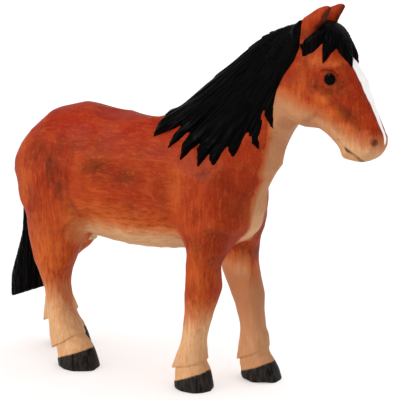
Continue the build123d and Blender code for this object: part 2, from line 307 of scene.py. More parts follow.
class Block:
    """A carved block through cross-sections, as a signed distance in millimetres."""

    FINE = 24             # rows of the table from one station to the next

    def __init__(self, stations, y_first=0.0, y_last=0.0, roundness=2.3, egg=0.0, end_round=1.0):
        stations = np.array(stations, float)
        a, b, width = stations[:, :2], stations[:, 2:4], stations[:, 4]
        self.count = len(stations)
        self.centre = (a + b) / 2
        up = a - b
        length = np.hypot(up[:, 0], up[:, 1])
        up /= length[:, None]
        self.ahead = np.stack([up[:, 1], -up[:, 0]], 1)
        flow = np.gradient(self.centre, axis=0)
        self.ahead *= np.sign((self.ahead * flow).sum(1))[:, None]
        self.roundness = roundness
        self.egg = egg
        self.end_round = end_round
        run = np.concatenate([[0], np.cumsum(np.hypot(*np.diff(self.centre, axis=0).T))])
        self.dense = np.linspace(0, self.count - 1, self.FINE * (self.count - 1) + 1)
        at = np.interp(self.dense, np.arange(self.count), run)
        tilt = np.unwrap(np.arctan2(up[:, 1], up[:, 0]))
        y = np.linspace(y_first, y_last, self.count)
        rows = [self.centre[:, 0], self.centre[:, 1], tilt, length / 2, width, y]
        self.table = [smooth_curve(run, row, at) for row in rows]
        edges = np.concatenate([a, b])
        (x_low, z_low), (x_high, z_high) = edges.min(0), edges.max(0)
        self.low = np.array([x_low, y.min() - width.max(), z_low]) - MARGIN
        self.high = np.array([x_high, y.max() + width.max(), z_high]) + MARGIN

    def along(self, p):
        """Place along the block, in stations, and the distances past its first and last planes."""
        off = (
            (p[:, None, 0] - self.centre[None, :, 0]) * self.ahead[None, :, 0]
            + (p[:, None, 2] - self.centre[None, :, 1]) * self.ahead[None, :, 1]
        )
        i = np.clip((off >= 0).sum(1) - 1, 0, self.count - 2)
        rows = np.arange(len(p))
        a, b = off[rows, i], off[rows, i + 1]
        gap = np.where(np.abs(a - b) < 1e-6, 1e-6, a - b)
        return i + np.clip(a / gap, 0, 1), off[:, 0], off[:, -1]

    def __call__(self, p):
        out = np.full(len(p), FAR)
        near = np.all((p > self.low) & (p < self.high), axis=1)
        if not near.any():
            return out
        q = p[near]
        s, first, last = self.along(q)
        cx, cz, tilt, half, width, y = (np.interp(s, self.dense, row) for row in self.table)
        v = ((q[:, 0] - cx) * np.cos(tilt) + (q[:, 2] - cz) * np.sin(tilt)) / half
        wide = width * (1 - self.egg * np.clip(v, -1, 1))
        w = (q[:, 1] - y) / wide
        n = self.roundness
        r = (np.abs(v) ** n + np.abs(w) ** n) ** (1 / n) + 1e-9
        slope = np.sqrt((np.abs(v / r) ** (n - 1) / half) ** 2 + (np.abs(w / r) ** (n - 1) / wide) ** 2)
        side = (r - 1) / slope
        side = smooth_max(side, -first, self.end_round)
        out[near] = smooth_max(side, last, self.end_round)
        return out


def smooth_min(a, b, k):
    """The union of two solids, blended over k millimetres."""
    h = np.clip(0.5 + 0.5 * (b - a) / k, 0, 1)
    return b + (a - b) * h - k * h * (1 - h)


def smooth_max(a, b, k):
    return -smooth_min(-a, -b, k)


def ellipsoid(p, centre, radii, turn):
    """Signed distance to an ellipsoid, turned about Y by turn degrees."""
    q = p - np.array(centre)
    c, s = math.cos(math.radians(turn)), math.sin(math.radians(turn))
    x = q[:, 0] * c + q[:, 2] * s
    z = -q[:, 0] * s + q[:, 2] * c
    r = np.stack([x / radii[0], q[:, 1] / radii[1], z / radii[2]], 1)
    k0 = np.sqrt((r**2).sum(1)) + 1e-9
    k1 = np.sqrt(((r / np.array(radii)) ** 2).sum(1)) + 1e-9
    return k0 * (k0 - 1) / k1


def groove(p, points, radius):
    """Distance to a round-bottomed channel along a 3-D polyline."""
    best = np.full(len(p), FAR)
    for a, b in zip(points[:-1], points[1:]):
        a, b = np.array(a, float), np.array(b, float)
        ab = b - a
        t = np.clip(((p - a) @ ab) / (ab @ ab), 0, 1)
        best = np.minimum(best, np.linalg.norm(p - a - t[:, None] * ab, axis=1))
    return best - radius


def creases(p, cuts):
    """How far shallow side-view cuts take the surface in, in millimetres."""
    total = np.zeros(len(p))
    for line, width, depth in cuts:
        pts = np.array(line, float)
        low, high = pts.min(0) - 3 * width, pts.max(0) + 3 * width
        near = (p[:, 0] > low[0]) & (p[:, 0] < high[0]) & (p[:, 2] > low[1]) & (p[:, 2] < high[1])
        if near.any():
            flat = p[near] * (1, 0, 1)
            d = groove(flat, [(a, 0, b) for a, b in line], 0.0) / width
            total[near] += depth * np.exp(-d * d)
    return total


def outline_distance(x, z, outline):
    """Signed distance in side view to a closed outline."""
    pts = np.array(outline, float)
    best = np.full(len(x), 1e9)
    sign = np.ones(len(x))
    for i in range(len(pts)):
        a, b = pts[i], pts[i - 1]
        ex, ez = b - a
        wx, wz = x - a[0], z - a[1]
        t = np.clip((wx * ex + wz * ez) / (ex * ex + ez * ez), 0, 1)
        best = np.minimum(best, (wx - ex * t) ** 2 + (wz - ez * t) ** 2)
        c1, c2, c3 = z >= a[1], z < b[1], ex * wz > ez * wx
        flip = (c1 & c2 & c3) | (~c1 & ~c2 & ~c3)
        sign[flip] *= -1
    return sign * np.sqrt(best)


def hashed(cell, salt):
    """A repeatable number in 0..1 for each integer cell."""
    n = cell[:, 0] * 73856093 ^ cell[:, 1] * 19349663 ^ cell[:, 2] * 83492791 ^ (salt * 2654435761)
    n = (n ^ (n >> 13)) * 1274126177 & 0xFFFFFFFF
    n = (n ^ (n >> 16)) * 2246822519 & 0xFFFFFFFF
    return ((n ^ (n >> 15)) & 0xFFFFFF) / float(0x1000000)


def facets(p, size, salt):
    """Squared distance to the nearest knife cut's middle, in cells: low on a cut, high on its rim."""
    q = p / np.array(size)
    base = np.floor(q).astype(np.int64)
    best = np.full(len(p), 9.0)
    for offset in NEIGHBOURS:
        cell = base + np.array(offset)
        d = [cell[:, i] + hashed(cell, salt + i) - q[:, i] for i in range(3)]
        best = np.minimum(best, d[0] ** 2 + d[1] ** 2 + d[2] ** 2)
    return best


def noise(p, size, salt):
    """Smooth value noise in 0..1."""
    q = p / np.array(size)
    base = np.floor(q).astype(np.int64)
    f = q - base
    f = f * f * (3 - 2 * f)
    total = np.zeros(len(p))
    for corner in CORNERS:
        x, y, z = (f[:, i] if corner[i] else 1 - f[:, i] for i in range(3))
        total += x * y * z * hashed(base + np.array(corner), salt)
    return total


def step(x, low, high):
    """From 0 at low to 1 at high, smoothly; low may be the larger."""
    t = np.clip((x - low) / (high - low), 0, 1)
    return t * t * (3 - 2 * t)


# ---- the horse ----

trunk = Block(TRUNK, roundness=2.25, egg=0.04)
neck = Block(NECK, roundness=2.1, egg=0.28)
head = Block(HEAD, roundness=2.5, egg=0.12)
ears = [
    Block(edges, side * EAR_Y, side * (EAR_Y - 0.6), roundness=2.0, end_round=0.4)
    for side, edges in ((-1, NEAR_EAR), (1, FAR_EAR))
]
legs = {
    name: (
        Block(leg_edges, LEG_Y[name], math.copysign(THIGH_Y, LEG_Y[name]), end_round=0.5),
        Block(foot_edges, LEG_Y[name], LEG_Y[name], end_round=0.5),
    )
    for name, leg_edges, foot_edges in (
        ("front_right", RIGHT_FRONT_LEG, RIGHT_FRONT_FOOT),
        ("front_left", LEFT_FRONT_LEG, LEFT_FRONT_FOOT),
        ("hind_right", RIGHT_HIND_LEG, RIGHT_HIND_FOOT),
        ("hind_left", LEFT_HIND_LEG, LEFT_HIND_FOOT),
    )
}
tail = Block(TAIL, roundness=2.2, end_round=1.2)


def mirrored(p):
    """Points folded onto the left side, for what is the same on both sides."""
    return np.stack([p[:, 0], np.abs(p[:, 1]), p[:, 2]], 1)


def cut_out(f, p, hollow):
    """The solid f with one of the ellipsoid hollows taken out of it."""
    centre, radii, turn, rounding = hollow
    return smooth_max(f, -ellipsoid(p, centre, radii, turn), rounding)


def head_shape(p):
    """The head with its cheeks, brows, sockets, nostrils, lips and hollowed ears."""
    f = head(p)
    near = f < 9
    g = f[near]
    m = mirrored(p[near])
    for centre, radii, turn, blend in HEAD_FORMS:
        g = smooth_min(g, ellipsoid(m, centre, radii, turn), blend)
    along, up = m[:, 0] - FACE_FLAT_AT[0], m[:, 2] - FACE_FLAT_AT[1]
    flat = along * FACE_FLAT_DIRECTION[0] + up * FACE_FLAT_DIRECTION[1] + FACE_FLAT_DEPTH
    g = smooth_max(g, flat, 0.3)
    g = cut_out(g, m, SOCKET)
    g = g + creases(m, HEAD_CUTS) * step(m[:, 1], 3.0, 5.5)
    g = cut_out(g, m, NOSTRIL)
    f[near] = smooth_max(g, -groove(m, LIPS, LIP_LINE), 0.2)
    for ear in ears:
        e = ear(p)
        close = e < 6
        e[close] = cut_out(e[close], mirrored(p[close]), EAR_HOLLOW)
        f = smooth_min(f, e, 1.2)
    return f


def horse_smooth(p):
    """The whole carved body without hair or knife marks."""
    f = smooth_min(trunk(p), neck(p), 5.0)
    f = smooth_min(f, head_shape(p), 2.0)
    f = f + creases(p, BODY_CUTS) * step(np.abs(p[:, 1]), 7.0, 12.0)
    for leg, foot in legs.values():
        f = smooth_min(f, smooth_min(leg(p), foot(p), 0.3), 4.4)
    return smooth_max(f, -p[:, 2], 0.3)


def knife_marks(p):
    """Height of the flat cuts left by the knife, longer along the grain."""
    share = {"leg": step(p[:, 2], 60, 50)}
    share["head"] = step((p[:, 0] - 40) + (p[:, 2] - 100) * 0.4, 0, 8) * (1 - share["leg"])
    share["back"] = (1 - share["leg"]) * (1 - share["head"])
    h = np.zeros(len(p))
    for part, (size, height, salt) in KNIFE.items():
        weight = share[part]
        some = weight > 0.01
        if some.any():
            h[some] += weight[some] * height * (np.minimum(facets(p[some], size, salt), 0.9) - 0.35)
    return h


def horse(p):
    """The whole carving, with flat soles on the ground."""
    return np.maximum(horse_smooth(p) - knife_marks(p), -p[:, 2])


def noise_at(a, b, c, salt):
    """Noise on three rows of numbers, or single numbers, with a cell of one."""
    return noise(np.stack(np.broadcast_arrays(a, b, c), 1), (1, 1, 1), salt)


def strands(turn, run, salt, count, depth):
    """Carved hair: V grooves at even turns, wandering a little along their run."""
    wander = noise_at(turn * 9, run / 12, 0, salt) - 0.5
    total = np.zeros(len(turn))
    for finer, share in ((1.0, 0.6), (1.9, 0.4)):
        phase = turn * count * finer + wander * 1.3 + salt
        total += share * np.abs((phase % 1.0) - 0.5) * 2
    vary = 0.55 + 0.9 * noise_at(turn * count * 0.5, run / 14, 1, salt + 5)
    return depth * vary * total


def mane_polar(p):
    """Turn round the mane's root, in radians, and distance from it, both in side view."""
    down, back = MANE_ROOT[1] - p[:, 2], MANE_ROOT[0] - p[:, 0]
    return np.arctan2(down, back), np.hypot(down, back)


def mane_shape(p):
    """A thin cap of hair over crest and neck, its far edge on the far side of the crest."""
    f = horse_smooth(p)
    cut = outline_distance(p[:, 0], p[:, 2], MANE_EDGE)
    turn, run = mane_polar(p)
    thick = 1.5 * step(-cut, -0.2, 2.6) + 0.4 + 0.5 * noise_at(turn * 14, run / 30, 0, 9)
    shell = f - thick + strands(turn, run, 3, 30.0, 0.75) * step(run, 6, 26)
    for x, z in MANE_NOTCHES:
        there = math.hypot(MANE_ROOT[1] - z, MANE_ROOT[0] - x)
        apart = (turn - math.atan2(MANE_ROOT[1] - z, MANE_ROOT[0] - x)) * run
        shell += 0.9 * np.exp(-(apart / 0.8) ** 2) * step(run, there - 30, there - 2)
    shell = smooth_max(shell, cut, 0.4)
    far_edge = 3.4 + 1.8 * (noise_at(turn * 11, 0, 0, 15) - 0.5)
    far_edge += 0.9 * np.abs((turn * 9.0) % 1.0 - 0.5)
    shell = smooth_max(shell, p[:, 1] - far_edge, 0.8)
    return np.maximum(shell, -(f + HAIR_LAP))


def forelock_polar(p):
    """Turn round the forelock's root, angle away from its axis, and distance from it, in radians and mm."""
    d = p - np.array(FORELOCK_ROOT)
    length = np.linalg.norm(d, axis=1) + 1e-9
    lean, upright = FORELOCK_LEAN
    rise = d[:, 0] * lean + d[:, 2] * upright
    ahead = d[:, 0] * upright - d[:, 2] * lean
    return np.arctan2(-d[:, 1], ahead), np.arccos(np.clip(rise / length, -1, 1)), length


def forelock_shape(p):
    """A thin cap of pointed locks between and before the ears."""
    skull = smooth_min(head(p), neck(p), 2.0)
    f = smooth_min(skull, np.minimum(ears[0](p), ears[1](p)), 1.2)
    turn, away, length = forelock_polar(p)
    turn, away = np.degrees(turn), np.degrees(away)
    reach = np.interp(turn, *np.array(FORELOCK_LOCKS, float).T)
    cut = np.radians(away - reach) * length * 0.7
    behind_ear = (62.4 - p[:, 0]) * 0.64 + (p[:, 2] - 140.4) * 0.77
    cut = np.maximum(cut, behind_ear - 6 * step(np.abs(p[:, 1]), 3.4, 0.8))
    thick = 0.5 + 1.8 * step(-cut, -0.2, 2.6) + 2.2 * step(away, 50, 10)
    shell = f - thick + strands(np.radians(turn), away / 3, 7, 4.6, 0.75) * step(away, 3, 12)
    shell = smooth_max(shell, cut, 0.4)
    shell = smooth_max(shell, skull - 3.8, 0.6)
    return np.maximum(shell, -(f + HAIR_LAP))


def tail_turn(p):
    """Turn round the tail's upright axis, in radians."""
    return np.arctan2(p[:, 1], p[:, 0] - TAIL_AXIS_X)


def tail_shape(p):
    """The tail with its strands, kept out of the croup."""
    f = tail(p) + strands(tail_turn(p), p[:, 2], 5, 3.4, 0.8)
    return np.maximum(f, -(horse_smooth(p) + TAIL_LAP))


def mane_run(p):
    """How far across and along its strands a point of the mane is, in millimetres."""
    turn, run = mane_polar(p)
    return {"across": turn * 45.0, "along": run}


def forelock_run(p):
    """The same for the forelock."""
    turn, away, _ = forelock_polar(p)
    return {"across": turn * 10.0, "along": away * 16.0}


def tail_run(p):
    """The same for the tail."""
    return {"across": tail_turn(p) * 5.0, "along": p[:, 2]}


# ---- polygons from the implicit solids ----

def evaluate(shape, p, chunk=250000):
    """The shape's distances at p, worked out in chunks to save memory."""
    return np.concatenate([shape(p[i:i + chunk]) for i in range(0, len(p), chunk)])


def sample(shape, low, high, voxel):
    """The solid's distances on a grid, worked out only near its surface."""
    coarse = voxel * COARSE
    counts = np.ceil((np.array(high) - np.array(low)) / coarse).astype(int)
    axes = [low[i] + coarse * np.arange(counts[i] + 1) for i in range(3)]
    nodes = np.stack(np.meshgrid(*axes, indexing="ij"), -1)
    rough = evaluate(shape, nodes.reshape(-1, 3)).reshape(nodes.shape[:3])
    corner = [rough[a:a + counts[0], b:b + counts[1], c:c + counts[2]] for a, b, c in CORNERS]
    nearest = np.min(np.abs(corner), axis=0)
    mixed = (np.min(corner, axis=0) < 0) & (np.max(corner, axis=0) > 0)
    active = (nearest < coarse * 0.95) | mixed
    size = counts * COARSE + 1
    fine = np.where(rough < 0, -1.0, 1.0)
    for axis in range(3):
        fine = np.repeat(fine, COARSE, axis)
    fine = fine[:size[0], :size[1], :size[2]].astype(np.float32)
    wanted = np.zeros(size, bool)
    for i, j, k in np.argwhere(active) * COARSE:
        wanted[i:i + COARSE + 1, j:j + COARSE + 1, k:k + COARSE + 1] = True
    cells = np.argwhere(wanted)
    fine[tuple(cells.T)] = evaluate(shape, cells * voxel + np.array(low))
    return fine


def surface_net(field, low, voxel):
    """Vertices and quads of the zero surface, one vertex in each cell it crosses."""
    inside = field < 0
    n = np.array(field.shape) - 1
    count = np.zeros(n, np.int8)
    for a, b, c in CORNERS:
        count += inside[a:a + n[0], b:b + n[1], c:c + n[2]]
    cells = np.argwhere((count > 0) & (count < len(CORNERS)))
    index = np.full(n, -1, np.int64)
    index[tuple(cells.T)] = np.arange(len(cells))
    total = np.zeros((len(cells), 3))
    hits = np.zeros(len(cells))
    for one in CORNERS:
        for axis in range(3):
            if one[axis]:
                continue
            two = list(one)
            two[axis] = 1
            fa = field[tuple((cells + one).T)]
            fb = field[tuple((cells + two).T)]
            cross = (fa < 0) != (fb < 0)
            t = np.where(cross, fa / np.where(cross, fa - fb, 1), 0)
            place = np.array(one, float)[None, :] + t[:, None] * (np.array(two) - one)[None, :]
            total += place * cross[:, None]
            hits += cross
    verts = (cells + total / hits[:, None]) * voxel + np.array(low)
    quads = []
    for axis in range(3):
        u, v = (axis + 1) % 3, (axis + 2) % 3
        a = [slice(1, -1)] * 3
        a[axis] = slice(0, -1)
        b = list(a)
        b[axis] = slice(1, None)
        at = np.argwhere(inside[tuple(a)] != inside[tuple(b)])
        at[:, u] += 1
        at[:, v] += 1
        ring = []
        for du, dv in ((0, 0), (-1, 0), (-1, -1), (0, -1)):
            c = at.copy()
            c[:, u] += du
            c[:, v] += dv
            ring.append(index[tuple(c.T)])
        quad = np.stack(ring, 1)
        leaving = inside[tuple(at.T)]
        quad[~leaving] = quad[~leaving][:, ::-1]
        quads.append(quad)
    return verts, np.concatenate(quads)


def gradient(shape, p, e=0.25):
    """Unit outward directions of the solid at p."""
    g = np.stack([
        evaluate(shape, p + np.eye(3)[i] * e) - evaluate(shape, p - np.eye(3)[i] * e) for i in range(3)
    ], 1)
    return g / (np.linalg.norm(g, axis=1, keepdims=True) + 1e-12)


def vertex_normals(verts, quads):
    """Unit outward directions at the vertices, averaged over the quads round each."""
    a, b, c, d = (verts[quads[:, i]] for i in range(4))
    face = np.cross(c - a, d - b)
    out = np.zeros_like(verts)
    for i in range(4):
        np.add.at(out, quads[:, i], face)
    return out / (np.linalg.norm(out, axis=1, keepdims=True) + 1e-12)


def stand_for(node, name, mesh, material):
    """A Blender object with this mesh and material, in place of one CAD node."""
    mesh.materials.append(material)
    piece = bpy.data.objects.new(name, mesh)
    scene.collection.objects.link(piece)
    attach(piece, "root")
    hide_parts(node)


def carved_piece(node, verts, quads, normals, marks, material):
    """A piece from a carved surface, with the marks that its material reads at each vertex."""
    name = "carved_" + node
    mesh = bpy.data.meshes.new(name)
    mesh.vertices.add(len(verts))
    mesh.vertices.foreach_set("co", ((verts + TO_ROW) * MM).astype(np.float32).ravel())
    mesh.loops.add(len(quads) * 4)
    mesh.loops.foreach_set("vertex_index", quads.astype(np.int32).ravel())
    mesh.polygons.add(len(quads))
    mesh.polygons.foreach_set("loop_start", np.arange(0, len(quads) * 4, 4, dtype=np.int32))
    mesh.update(calc_edges=True)
    for key, values in marks.items():
        layer = mesh.attributes.new(key, "FLOAT", "POINT")
        layer.data.foreach_set("value", values.astype(np.float32))
    mesh.polygons.foreach_set("use_smooth", np.ones(len(quads), bool))
    mesh.normals_split_custom_set_from_vertices(normals.astype(np.float32).tolist())
    stand_for(node, name, mesh, material)


# ---- paint ----

def left_of(p, line):
    """Distance past a side-view line that runs from low to high, positive toward +X."""
    pts = np.array(sorted(line, key=lambda a: a[1]), float)
    return p[:, 0] - np.interp(p[:, 2], pts[:, 1], pts[:, 0])


def under(p, line):
    """Distance under a side-view line that runs from left to right."""
    pts = np.array(line, float)
    return np.interp(p[:, 0], pts[:, 0], pts[:, 1]) - p[:, 2]


NECK_FRONT = [(36.5, 60), (37.6, 82.8), (40.8, 93.4), (42.6, 98.6), (43.6, 109.9), (44, 112.7)]
MUZZLE_TOP = [
    (44, 115.4), (48.5, 114.8), (55.4, 111.8), (64, 108.2), (70.4, 103.6), (74.5, 101.4), (85, 98.4),
]
# x, z, size along and across, and strength of the patches: painted shade in creases and hollows, with some
# darker stain, in the first list, and painted highlight on raised forms in the second
SHADE_AND_STAIN_PATCHES = [
    (-28, 82.5, 7, 3.6, 1), (-13, 80, 8, 3.6, 0.8), (-55, 87, 5, 4, 0.8),
    (-49.5, 80, 2.6, 5, 1.1), (-44, 74, 2.6, 5, 1), (-39.5, 64, 2.2, 4, 0.9),
    (55.5, 137, 3, 2.4, 0.8), (24.5, 50.5, 4, 2.6, 0.9), (-10, 66, 4, 4, 0.6),
    (20, 84, 6, 4, 0.6), (30, 74, 3.5, 6, 0.4), (24, 62, 4, 4, 0.6),
    (16, 57, 9, 3.5, 0.6), (17, 42, 3, 7, 0.5), (-58, 64, 4, 6, 0.4),
    (70.8, 119.6, 2.6, 3.6, 1), (67, 117.6, 3.6, 1.6, 1), (61.5, 119.4, 1.8, 2.4, 1),
    (66, 125.6, 3, 1, 0.5), (73, 109.6, 4, 2.2, 1), (61, 109, 5, 1.2, 0.4),
    (56, 126, 3, 5, 0.4), (-34, 58, 4, 3, 0.5), (2, 74, 2.5, 7, 0.5),
    (-36, 90, 10, 2, 0.4),
]
# painted highlight on the facial crest, temple, brow and the raised forms of body and legs
HIGHLIGHT_PATCHES = [
    (64, 114.6, 3, 2.2, 1), (68, 109.6, 3.4, 2.2, 1), (73.4, 104.8, 3.4, 1.6, 1),
    (61, 128, 3, 2.4, 0.8), (68, 127.6, 3, 1.2, 0.7), (56, 118, 3, 6, 0.5),
    (-62, 74, 5, 9, 0.5), (-30, 66, 10, 4, 0.6), (-5, 60, 8, 3, 0.6),
    (8, 78, 4, 8, 0.5), (34, 68, 2, 6, 0.5), (-53, 47, 9, 12, 0.9),
    (-66, 88, 4, 5, 0.4), (16, 44, 6, 12, 0.5), (-22, 62, 24, 6, 0.8),
]
# height where the cream of each leg begins and where it is full, how far the edge wanders, how far it leans
LEG_FADE = {
    "front_right": (42, 17, 2, 0), "front_left": (52, 31, 2.5, 0),
    "hind_right": (45, 13, 2.5, 0.35), "hind_left": (44, 20, 3, 0),
}
LEG_FADE_X = -48
# side-view place where the edge of each painted hoof meets its heel
CORONET = {
    "front_right": (4, 2.2), "hind_right": (-51.8, 2.5), "front_left": (19, 2.4), "hind_left": (-72, 2.5),
}
CORONET_SLOPE = 0.385
JAW_LINE, JAW_AT = (28, 23), 51.5 * 28 + 104 * 23
BLAZE_TOP, BLAZE_LENGTH = 126.0, 24.0
# half width of the blaze, and how far it lies to the left, by the share of its length from the top
BLAZE_HALF = ([0, 0.5, 1.0, 1.2], [2.1, 1.0, 0.45, 0.3])
BLAZE_SHIFT = ([0, 0.7, 1.2], [0.9, 0.9, 0.3])


def patch_strength(p, places):
    """How strongly each point lies in one of the listed patches, on both sides of the horse."""
    total = np.zeros(len(p))
    for x, z, along, across, strength in places:
        d = ((p[:, 0] - x) / along) ** 2 + ((p[:, 2] - z) / across) ** 2
        total = np.maximum(total, strength * np.exp(-d * 0.9))
    return total * step(np.abs(p[:, 1]), 2.0, 6.0)


def of_leg(p, name):
    """Whether each point is in the quarter of the horse that holds this leg."""
    return (("front" in name) == (p[:, 0] > MID_X)) & (("right" in name) == (p[:, 1] < 0))


def past_jaw(p):
    """0 on the neck, 1 on the head."""
    return step(p[:, 0] * JAW_LINE[0] + p[:, 2] * JAW_LINE[1], JAW_AT - 30, JAW_AT + 60)


def cream_paint(p, n, wobble):
    """Belly, lower legs, throat and chest, and muzzle."""
    x, y, z = p.T
    cream = step(59.8 - z + wobble * 1.2, -5.0, 5.0) * step(x, -46, -34) * step(x, 14, 4)
    cream *= 1 - step(z, 52, 46)
    fade = np.zeros(len(p))
    for name, (start, full, wander, lean) in LEG_FADE.items():
        edge = z + wobble * wander + (x - LEG_FADE_X) * lean
        fade = np.where(of_leg(p, name), step(edge, start, full), fade)
    inward = step(-n[:, 1] * np.sign(y), 0.1, 0.8) * step(z, 56, 40) * 0.85
    cream = np.maximum(cream, np.maximum(fade, inward) * step(z, 60, 52))
    throat = step(left_of(p, NECK_FRONT) + wobble * 0.6, -2.2, 2.0) * step(z, 74, 84) * step(z, 116, 112)
    cream = np.maximum(cream, throat * (1 - past_jaw(p)))
    stripe = step(4.8 - np.abs(y) + wobble * 0.8, -2.2, 2.4) * step(n[:, 0], 0.25, 0.7)
    stripe *= step(z, 86, 80) * step(z, 52, 60) * step(x, 20, 28)
    muzzle = step(under(p, MUZZLE_TOP) + wobble * 0.6, -7.0, 6.0) * step(x, 42, 46) * step(z, 60, 90)
    return np.maximum(np.maximum(cream, stripe), muzzle)


def hoof_paint(p, wobble):
    """The charcoal hooves, up to a sloping edge."""
    hoof = np.zeros(len(p))
    for name, (x, z) in CORONET.items():
        edge = z + (p[:, 0] - x) * CORONET_SLOPE + wobble * 0.25
        hoof = np.where(of_leg(p, name), step(edge - p[:, 2], -0.15, 0.25), hoof)
    return hoof * step(p[:, 2], 14, 13)


def blaze_paint(p, wobble):
    """The white blaze down the flat of the face, narrowing to the nostrils."""
    x, y, z = p.T
    along = np.clip((BLAZE_TOP - z) / BLAZE_LENGTH, 0, 1.2)
    half, shift = np.interp(along, *BLAZE_HALF), np.interp(along, *BLAZE_SHIFT)
    on_face = step((x - 71.6) * 0.90 + (z - 127.0) * 0.435, -2.2, -1.2)
    white = step(half + shift - np.abs(y - shift) + wobble * 0.12, -0.12, 0.12) * on_face
    return white * step(z, 129.5, 127.5) * step(z, 98.4, 99.6)


def hollow_shade_paint(p, n):
    """Painted shade in the lips, nostrils, sockets, ears and the narrow cuts, where shade falls."""
    x, y, z = p.T
    side = np.abs(y)
    m = mirrored(p)
    nostril = np.linalg.norm((m - (83.2, 4.9, 100.1)) * (1, 0.8, 0.85), axis=1)
    socket = np.linalg.norm((m - (67.0, 9.2, 122.1)) * (1, 0.6, 1.1), axis=1)
    narrow = [cut for cut in BODY_CUTS if cut[1] < 1]
    return np.max([
        step(groove(m, LIPS, 0.0), 0.85, 0.4),
        step(nostril, 1.5, 0.8),
        step(socket, 3.4, 2.2) * 0.5,
        creases(p, HEAD_CUTS) * step(side, 3, 6) * past_jaw(p) * 0.3,
        creases(p, HEAD_CUTS[:1]) * step(side, 3, 6) * 0.5,
        creases(p, narrow) * step(side, 7, 11) * 0.7,
        step(z, 138, 140) * step(n[:, 0], 0.35, 0.7) * step(x, 58, 60),
    ], axis=0)


def paint(p, n):
    """Where each paint, the painted shade and highlights, and each grain lies, from 0 to 1, at points with
    outward directions n.
    """
    x, y, z = p.T
    wobble = (noise(p, (5, 4, 9), 71) - 0.5) * 2
    in_head = past_jaw(p)
    back = step(z, 88, 101) * step(x, 34, 22) * (1 - in_head)
    nose_side = step(x * 0.9 + z * 0.435, 118.4, 121.4) * in_head * step(z, 130, 124) * 0.8
    upright = np.max([
        step(z, 52, 46),
        step(np.abs(x + 54), 20, 6) * step(z, 96, 82),
        step(np.abs(x - 20), 20, 6) * step(z, 100, 84),
        step((x + 9) * 31 + (z - 104) * 46, 0, 600) * 0.75,
    ], axis=0)
    # tan paint with painted shade from the chest on the far front leg, strongest just under the chest
    far_front_tan_and_shade = np.where(of_leg(p, "front_left"), step(z, 50, 40) * (0.7 + 0.6 * step(z, 12, 34)), 0.0)
    upper = step(z, 60, 75) * (1 - 0.6 * in_head * step(x, 60, 72))
    return {
        "cream": cream_paint(p, n, wobble),
        "tan_and_shade": np.maximum(far_front_tan_and_shade, upper),
        "hoof": hoof_paint(p, wobble),
        "white": blaze_paint(p, wobble),
        # painted shade in the hollows and narrow cuts
        "hollow_shade": hollow_shade_paint(p, n),
        "deep": np.maximum(back, nose_side),
        # painted shade in creases and hollows, with some darker stain
        "shade_and_stain": patch_strength(p, SHADE_AND_STAIN_PATCHES),
        # painted highlight patches
        "painted_highlight": patch_strength(p, HIGHLIGHT_PATCHES),
        "upright": upright,
    }


# ---- materials ----

def linear(rgb, depth=0.8):
    """A display colour out of 255 as the linear colour of the paint, with the studio's light taken out."""
    c = np.array(rgb, float) / 255
    c = np.where(c <= 0.04045, c / 12.92, ((c + 0.055) / 1.055) ** 2.4)
    return (*(c * depth), 1.0)


class Look:
    """A material's nodes, added one by one."""

    def __init__(self, name):
        self.material = bpy.data.materials.new(name)
        self.material.use_nodes = True
        self.tree = self.material.node_tree
        self.shader = self.tree.nodes["Principled BSDF"]
        self.coords = self.add("ShaderNodeTexCoord").outputs["Object"]

    def add(self, kind, **settings):
        node = self.tree.nodes.new(kind)
        for key, value in settings.items():
            setattr(node, key, value)
        return node

    def put(self, socket, value):
        if isinstance(value, bpy.types.NodeSocket):
            self.tree.links.new(value, socket)
        else:
            socket.default_value = value

    def mark(self, key):
        return self.add("ShaderNodeAttribute", attribute_name=key).outputs["Fac"]

    def math(self, way, a, b):
        node = self.add("ShaderNodeMath", operation=way)
        self.put(node.inputs[0], a)
        self.put(node.inputs[1], b)
        return node.outputs[0]

    def times(self, a, b):
        return self.math("MULTIPLY", a, b)

    def noise_at(self, place, scale, detail, rough, warp=0.0):
        node = self.add("ShaderNodeTexNoise")
        self.put(node.inputs["Vector"], place)
        for key, value in (("Scale", scale), ("Detail", detail), ("Roughness", rough), ("Distortion", warp)):
            node.inputs[key].default_value = value
        return node.outputs["Fac"]

    def noise(self, scale, detail, rough, stretch=(1, 1, 1), warp=0.0):
        place = self.add("ShaderNodeVectorMath", operation="MULTIPLY")
        self.put(place.inputs[0], self.coords)
        place.inputs[1].default_value = stretch
        return self.noise_at(place.outputs[0], scale, detail, rough, warp)

    def ramp(self, value, low, high, out_low=0.0, out_high=1.0):
        node = self.add("ShaderNodeMapRange", interpolation_type="SMOOTHSTEP")
        for socket, v in zip(node.inputs, (value, low, high, out_low, out_high)):
            self.put(socket, v)
        return node.outputs["Result"]

    def mix(self, factor, a, b):
        node = self.add("ShaderNodeMix", data_type="RGBA")
        for index, value in ((0, factor), (6, a), (7, b)):
            self.put(node.inputs[index], value)
        return node.outputs[2]

    def layers(self, first, *others):
        """A colour with others laid over it, each given with how much of it shows."""
        colour = linear(first)
        for amount, rgb in others:
            colour = self.mix(amount, colour, linear(rgb))
        return colour

    def lerp(self, factor, a, b):
        node = self.add("ShaderNodeMix", data_type="FLOAT")
        for index, value in ((0, factor), (2, a), (3, b)):
            self.put(node.inputs[index], value)
        return node.outputs[0]

    def bump(self, height, distance, strength):
        node = self.add("ShaderNodeBump")
        node.inputs["Strength"].default_value = strength
        node.inputs["Distance"].default_value = distance
        self.put(node.inputs["Height"], height)
        self.put(self.shader.inputs["Normal"], node.outputs[0])

    def finish(self, colour, rough, specular):
        self.put(self.shader.inputs["Base Color"], colour)
        self.put(self.shader.inputs["Roughness"], rough)
        self.shader.inputs["Specular IOR Level"].default_value = specular
        return self.material


